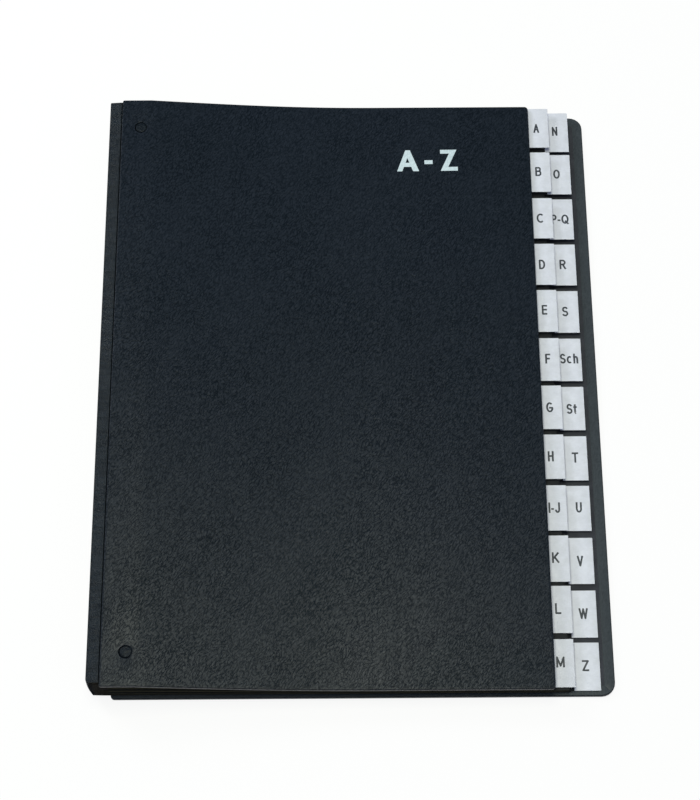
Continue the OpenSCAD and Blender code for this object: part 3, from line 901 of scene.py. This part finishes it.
stampTree, given, out = shapeTree("stampPieces", Shape="Object", Turn="Vector", Material="Material")
shape = geoNode(stampTree, "ObjectInfo", Object=given["Shape"])
turning = addNode(stampTree, "FunctionNodeEulerToRotation")
feed(turning.inputs[0], given["Turn"])
stamped = geoNode(stampTree, "InstanceOnPoints", Points=given["Geometry"], Instance=shape.outputs["Geometry"],
                  Rotation=turning.outputs[0])
closeTree(stampTree, out, stamped.outputs[0], given["Material"])


def stamp(name, shape, places, skin, turn=(0, 0, 0)):
    mesh = bpy.data.meshes.new(name)
    mesh.from_pydata([Vector(p) * mm for p in places], [], [])
    return runTree(name, mesh, stampTree, {"Shape": shape, "Turn": turn, "Material": skin})


rivet = {  # turned profiles: radius, height above the dimple's floor or below the grip, and the mark for rubbed paint, below zero for painted shade in the gap
    "head": [(0.0, 0.64, 0.3), (0.9, 0.636, 0.3), (1.7, 0.622, 0.3), (2.35, 0.59, 0.4), (2.66, 0.54, 0.6),
             (2.84, 0.46, 0.6), (2.96, 0.34, 0.0), (3.02, 0.2, -1.0), (3.04, 0.06, -1.0), (3.07, 0.02, -1.0),
             (3.1, 0.02, -1.0), (3.1, 0.0, -1.0)],
    "clinch": [(1.5, 0.0, 0.0), (2.5, 0.0, 0.2), (2.6, -0.1, 0.6), (2.52, -0.26, 0.8), (2.2, -0.35, 0.6),
               (1.0, -0.3, 0.2), (0.0, -0.3, 0.0)],
    "shankR": 1.5, "grip": 1.6, "seat": 0.85, "around": 48,
}


def rivetTemplate():
    profile = rivet["head"] + [(rivet["shankR"], 0.0, 0.0)]
    profile += [(r, z - rivet["grip"], edge) for r, z, edge in rivet["clinch"]]
    points, mask, rings, faces = [], [], [], []
    for r, z, edge in profile:
        ring = [(0.0, 0.0)] if r == 0 else circleLoop(0, 0, r, rivet["around"])
        rings.append(list(range(len(points), len(points) + len(ring))))
        points += [(x, y, z) for x, y in ring]
        mask += [edge * gapShadeShare(x, y) if edge < 0 else edge for x, y in ring]
    for a, b in zip(rings, rings[1:]):
        for i in range(rivet["around"]):
            j = (i + 1) % rivet["around"]
            quad = (a[i % len(a)], a[j % len(a)], b[j % len(b)], b[i % len(b)])
            faces.append(tuple(dict.fromkeys(quad)))
    return solidPiece("rivetTemplate", points, faces, rivetSkin, sharpAngle=40, edge=mask)


template = rivetTemplate()
seats = [(x + rivetAt["play"][0], y + rivetAt["play"][1]) for x, y in rivetAt["places"]]
frontSeat = block["frontSpineZ"] - rivet["seat"]
frontRivets = stamp("front_rivet_pair", template, [(x, y, frontSeat) for x, y in seats], rivetSkin)
backRivets = stamp("back_rivet_pair", template, [(x, y, rivet["seat"]) for x, y in seats], rivetSkin, (math.pi, 0, 0))
bpy.data.objects.remove(template)
for piece, body in ((frontRivets, "front_cover"), (backRivets, "back_cover")):
    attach(piece, body)
    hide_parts(body.split("_")[0] + "_rivets")
print("rivets: 4")

# White labels folded round the tabs, and their letters

label = {"paper": 0.08, "fold": 0.10, "foldTurns": (0.4, 0.8, 1.2, math.pi / 2), "width": (15.0, 13.3),
         "rubInset": 0.35, "rubEnd": 0.1, "rubFold": 0.05}


def labelTemplate(w):
    # closed profile of the folded strip, outside then inside, swept along the tab
    half, paper, end = leafCut["cardT"] / 2, label["paper"], tabH / 2
    outer, r = half + paper, label["fold"]
    outside = [(-w, -outer), (-w / 2, -outer), (paper - r, -outer)]
    outside += [(paper - r + r * math.sin(a), -outer + r - r * math.cos(a)) for a in label["foldTurns"]]
    outside += [(x, -z) for x, z in reversed(outside)]
    profile = outside + [(-w, half), (0.0, half), (0.0, -half), (-w, -half)]
    n, m = len(profile), len(outside)
    ys = [-end, -end + label["rubInset"], 0.0, end - label["rubInset"], end]
    points = [(x, y, z) for y in ys for x, z in profile]
    mask = [1.0 if i % n < m and (abs(y) > end - label["rubEnd"] or x > -label["rubFold"]) else 0.0
            for i, (x, y, z) in enumerate(points)]
    faces = [(a * n + i, a * n + (i + 1) % n, (a + 1) * n + (i + 1) % n, (a + 1) * n + i)
             for a in range(len(ys) - 1) for i in range(n)]
    for base in (0, (len(ys) - 1) * n):  # the strip's cut ends, as three flat pieces each
        ring, fold = list(range(base, base + n)), m // 2
        faces.append(tuple(ring[:fold] + [ring[m + 2], ring[m + 3]]))
        faces.append(tuple(ring[fold:m] + [ring[m], ring[m + 1]]))
        faces.append((ring[fold - 1], ring[fold], ring[m + 1], ring[m + 2]))
    return solidPiece("labelTemplate", points, faces, labelSkin, sharpAngle=50, edge=mask)


lettering = {"capHeight": 5.85, "stroke": 0.97, "space": 0.5, "sunk": 0.004, "inkT": 0.012, "sharpTurn": 0.8}
stem, ring = [(0, 0), (0, 1)], arc(0.5, 0.5, 0.5, 0.5, 0, 360, steps=28)
glyphs = {  # middle lines of the strokes in a unit box
    "A": [[(0, 0), (0.5, 1), (1, 0)], [(0.34, 0.32), (0.66, 0.32)]],
    "B": [stem + arc(0.56, 0.77, 0.36, 0.23, 90, -90) + [(0, 0.54)],
          [(0, 0.54)] + arc(0.6, 0.27, 0.4, 0.27, 90, -90) + [(0, 0)]],
    "C": [arc(0.5, 0.5, 0.5, 0.5, 46, 314)],
    "D": [stem + arc(0.4, 0.5, 0.6, 0.5, 90, -90) + [(0, 0)]],
    "E": [[(1, 1), (0, 1), (0, 0), (1, 0)], [(0, 0.52), (0.92, 0.52)]],
    "F": [[(1, 1), (0, 1), (0, 0)], [(0, 0.5), (0.86, 0.5)]],
    "G": [arc(0.5, 0.5, 0.5, 0.5, 46, 335) + [(0.97, 0.44), (0.55, 0.44)]],
    "H": [stem, [(1, 0), (1, 1)], [(0, 0.53), (1, 0.53)]],
    "I": [[(0.5, 0), (0.5, 1)]],
    "J": [[(1, 1)] + arc(0.5, 0.3, 0.5, 0.3, 0, -175)],
    "K": [stem, [(0.97, 1), (0, 0.34)], [(0.34, 0.57), (1, 0)]],
    "L": [[(0, 1), (0, 0), (1, 0)]],
    "M": [[(0, 0), (0, 1), (0.5, 0.08), (1, 1), (1, 0)]],
    "N": [[(0, 0), (0, 1), (1, 0), (1, 1)]],
    "O": [ring],
    "P": [stem + arc(0.55, 0.735, 0.45, 0.265, 90, -90) + [(0, 0.47)]],
    "Q": [ring, [(0.6, 0.22), (0.98, -0.04)]],
    "R": [stem + arc(0.55, 0.75, 0.42, 0.25, 90, -90) + [(0, 0.5)], [(0.48, 0.5), (1, 0)]],
    "S": [arc(0.5, 0.75, 0.46, 0.25, 18, 270) + arc(0.5, 0.25, 0.5, 0.25, 90, -162)[1:]],
    "T": [[(0, 1), (1, 1)], [(0.5, 0), (0.5, 1)]],
    "U": [[(0, 1)] + arc(0.5, 0.36, 0.5, 0.36, 180, 360) + [(1, 1)]],
    "V": [[(0, 1), (0.5, 0), (1, 1)]],
    "W": [[(0, 1), (0.25, 0), (0.5, 1), (0.75, 0), (1, 1)]],
    "Z": [[(0, 1), (1, 1), (0, 0), (1, 0)]],
    "c": [arc(0.5, 0.36, 0.5, 0.36, 48, 312)],
    "h": [stem, [(0, 0.38)] + arc(0.5, 0.44, 0.5, 0.28, 165, 0) + [(1, 0)]],
    "t": [[(0.4, 0.95)] + arc(0.74, 0.18, 0.34, 0.18, 180, 285), [(0, 0.72), (0.95, 0.72)]],
    "-": [[(0, 0.36), (1, 0.36)]],
}
# In cap heights, where a tab has more than one letter
glyphWidth = {"I": 0.16, "-": 0.31, "J": 0.6, "P": 0.56, "Q": 0.78, "S": 0.6, "c": 0.58, "h": 0.5, "t": 0.36}


def ribbons(line, half):
    # outlines of a stroke: one for each smooth run, and a small disc at each sharp corner
    line = [Vector(p) for p in line]
    for end, other in ((0, 1), (-1, -2)):
        if len(line) == 2 or (line[end] - line[other]).length > 2 * half:
            line[end] = line[end] + (line[end] - line[other]).normalized() * half
    steps = [(q - p).normalized() for p, q in zip(line, line[1:])]
    breaks = [i for i in range(1, len(steps)) if steps[i - 1].dot(steps[i]) < lettering["sharpTurn"]]
    outlines = [circleLoop(*line[i], half, count=12) for i in breaks]
    for first, last in zip([0] + breaks, breaks + [len(steps)]):
        left, right = [], []
        for i in range(first, last + 1):
            before, after = steps[max(i - 1, first)], steps[min(i, last - 1)]
            normal = Vector((-before.y - after.y, before.x + after.x)).normalized() * half
            left.append((line[i][0] + normal.x, line[i][1] + normal.y))
            right.append((line[i][0] - normal.x, line[i][1] - normal.y))
        outlines.append(left + right[::-1])
    return outlines


def letterBoxes(says, width):  # left end and width of each letter
    if len(says) == 1:
        return [(0.0, width)]
    wide = [glyphWidth[c] * lettering["capHeight"] for c in says]
    fit = (width - lettering["space"] * (len(says) - 1)) / sum(wide)
    boxes, x = [], 0.0
    for w in wide:
        boxes.append((x, w * fit))
        x += w * fit + lettering["space"]
    return boxes


def inkShape(says, width):
    # points, triangles and rim edges of a text, in mm about its middle
    stroke, rise = lettering["stroke"], lettering["capHeight"] - lettering["stroke"]
    loops = []
    for letter, (x0, w) in zip(says, letterBoxes(says, width)):
        run = max(0.0, w - stroke)
        for line in glyphs[letter]:
            placed = [(x0 + w / 2 + (px - 0.5) * run - width / 2, (py - 0.5) * rise) for px, py in line]
            loops += ribbons(placed, stroke / 2)
    points, faces, _ = delaunay(loops, tolerance=1e-4)
    tris, used = [], {}
    for face, middle in faces:
        if any(insideLoops(*middle, [loop]) for loop in loops):
            tris.append(tuple(face))
            for a, b in around(list(face)):
                used.setdefault(frozenset((a, b)), []).append((a, b))
    rims = [sides[0] for sides in used.values() if len(sides) == 1]
    kept = sorted({i for tri in tris for i in tri})
    place = {old: new for new, old in enumerate(kept)}
    tris, rims = ([tuple(place[i] for i in part) for part in parts] for parts in (tris, rims))
    return [tuple(points[i]) for i in kept], tris, rims


def prismFaces(first, count, tris, rims):  # between a flat shape's lower points and its upper ones
    faces = [tuple(first + count + i for i in tri) for tri in tris]
    faces += [tuple(first + i for i in reversed(tri)) for tri in tris]
    return faces + [(first + i, first + j, first + count + j, first + count + i) for i, j in rims]


def letterPiece(name, says, width, middle, y, z):
    # the text once on the tab's upper face and once, turned over, on its lower face
    shape, tris, rims = inkShape(says, width)
    points, faces, gap = [], [], leafCut["cardT"] / 2 + label["paper"]
    for side in (1, -1):
        faces += prismFaces(len(points), len(shape), tris, rims)
        for level in (gap - lettering["sunk"], gap + lettering["inkT"]):
            points += [(middle + px * side, y + py, z + side * level) for px, py in shape]
    return solidPiece(name, points, faces, inkSkin, sharpAngle=30)


templates = [labelTemplate(w) for w in label["width"]]
for k, (name, says, width, fromEdge, above, _) in enumerate(index, 1):
    x1, y = tabPlace(k)
    z = leafHeights(k)[1]
    piece = stamp("tab_label_" + name, templates[k > rowCount], [(x1, y, z)], labelSkin)
    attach(piece, "leaf_" + name)
    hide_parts("tab_" + name)
    ink = letterPiece("tab_letter_" + name, says, width, x1 - fromEdge, y + above, z)
    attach(ink, "leaf_" + name)
for template in templates:
    bpy.data.objects.remove(template)
print("tabs:", leafCount, "labels and their letters")

# Title on the front cover

title = {  # outlines in mm, above the foot of the letters
    "y": 128.45, "lift": 0.035, "sunk": 0.01, "tilt": 0.5, "pivot": (42.4, 6.75),
    "A": [[(27.1, 0), (29.93, 0), (30.9467, 2.83), (34.9833, 2.83), (36.0, 0), (39.3, 0), (34.45, 13.5), (31.95, 13.5)],
          [(31.888, 5.45), (34.042, 5.45), (32.965, 8.4479)]],
    "-": [[(42.4, 4.445), (46.95, 4.445), (46.95, 6.895), (42.4, 6.895)]],
    "Z": [[(51.3, 0), (60.8, 0), (60.8, 2.45), (55.55, 2.45),
           (60.45, 13.5), (51.3, 13.5), (51.3, 11.05), (56.2, 11.05)]],
}
tilt, pivot = Matrix.Rotation(math.radians(title["tilt"]), 2), Vector(title["pivot"])


def tilted(point):
    return tuple(Vector((0, title["y"])) + pivot + tilt @ (Vector(point) - pivot))


points, faces = [], []
for letter in "A-Z":
    loops = [[tilted(point) for point in loop] for loop in title[letter]]
    flat, rims = [], []
    for loop in loops:
        rims += around(list(range(len(flat), len(flat) + len(loop))))
        flat += loop
    faces += prismFaces(len(points), len(flat), fillLoops(loops), rims)
    for level in (-title["sunk"], title["lift"]):
        points += [(x, y, frontTop(x) + level) for x, y in flat]
coverTitle = solidPiece("front_cover_title", points, faces, foilSkin, sharpAngle=30)
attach(coverTitle, "front_cover")
print("title: done")

# Boards stay as the CAD has them

for node in ("front_cover_board", "back_cover_board"):
    cadNodes[node].data.materials.clear()
    cadNodes[node].data.materials.append(boardSkin)

# Floor, light and camera

studio = {"floor": 30.0, "floorZ": -0.0003, "floorColor": (0.95, 0.95, 0.95, 1), "backgroundShare": 0.88,
          "sky": (0.78, 0.93, 1.18, 1), "skyStrength": 0.27}

floorMesh = bpy.data.meshes.new("floor")
f, z = studio["floor"] / 2, studio["floorZ"]
floorMesh.from_pydata([(-f, -f, z), (f, -f, z), (f, f, z), (-f, f, z)], [], [(0, 1, 2, 3)])
floor = linkNew("floor", floorMesh)
floorSkin, t, surface = newMaterial("floorPaper")
path = {s.name: Field(s) for s in t.nodes.new("ShaderNodeLightPath").outputs}
seen = path["Is Camera Ray"].calc("MAXIMUM", path["Is Glossy Ray"].calc("MAXIMUM", path["Is Transmission Ray"]))
lit = addNode(t, "ShaderNodeMixShader")
paper = addNode(t, "ShaderNodeBsdfDiffuse", Color=studio["floorColor"])
glow = addNode(t, "ShaderNodeEmission")  # what the camera and the sheen see is nearly white
for socket, value in zip(lit.inputs, (seen * studio["backgroundShare"], paper.outputs[0], glow.outputs[0])):
    feed(socket, value)
feed(surface, lit.outputs[0])
floorMesh.materials.append(floorSkin)

world = bpy.data.worlds.new("studio")
scene.world = world
world.use_nodes = True
feedAll(world.node_tree.nodes["Background"], Color=studio["sky"], Strength=studio["skyStrength"])

lamps = {  # name: place, size in m, watts, colour; each points at the sorter
    "overhead": ((-0.10, 0.0, 1.5), (0.8, 0.5), 15.0, (0.97, 1.0, 0.80)),
    "side": ((-1.1, 0.8, 1.0), (0.6, 0.6), 9.0, (0.93, 0.98, 1.04)),
}
for name, (place, size, watts, tint) in lamps.items():
    lamp = bpy.data.lights.new(name, "AREA")
    lamp.shape = "RECTANGLE"
    lamp.size, lamp.size_y = size
    lamp.energy = watts
    lamp.color = tint
    obj = linkNew(name, lamp)
    obj.location = place
    obj.rotation_euler = (-Vector(place)).to_track_quat("-Z", "Y").to_euler()

view = {"azimuth": -0.648, "elevation": 65.273, "roll": 0.226, "distance": 1.172048,
        "target": (0.0, -0.004291, 0.0), "focalPixels": 2189.4, "longSide": 800, "sensor": 36.0}
az, el, roll = (math.radians(view[key]) for key in ("azimuth", "elevation", "roll"))
turn = Matrix.Rotation(az, 3, "Z") @ Matrix.Rotation(math.pi / 2 - el, 3, "X") @ Matrix.Rotation(roll, 3, "Z")
lens = bpy.data.cameras.new("photoView")
lens.sensor_width = view["sensor"]
lens.lens = view["focalPixels"] / view["longSide"] * view["sensor"]
camera = linkNew("photoView", lens)
camera.matrix_world = Matrix.Translation(Vector(view["target"]) + turn.col[2] * view["distance"]) @ turn.to_4x4()
scene.camera = camera
print("studio: camera", [round(c, 4) for c in camera.location])
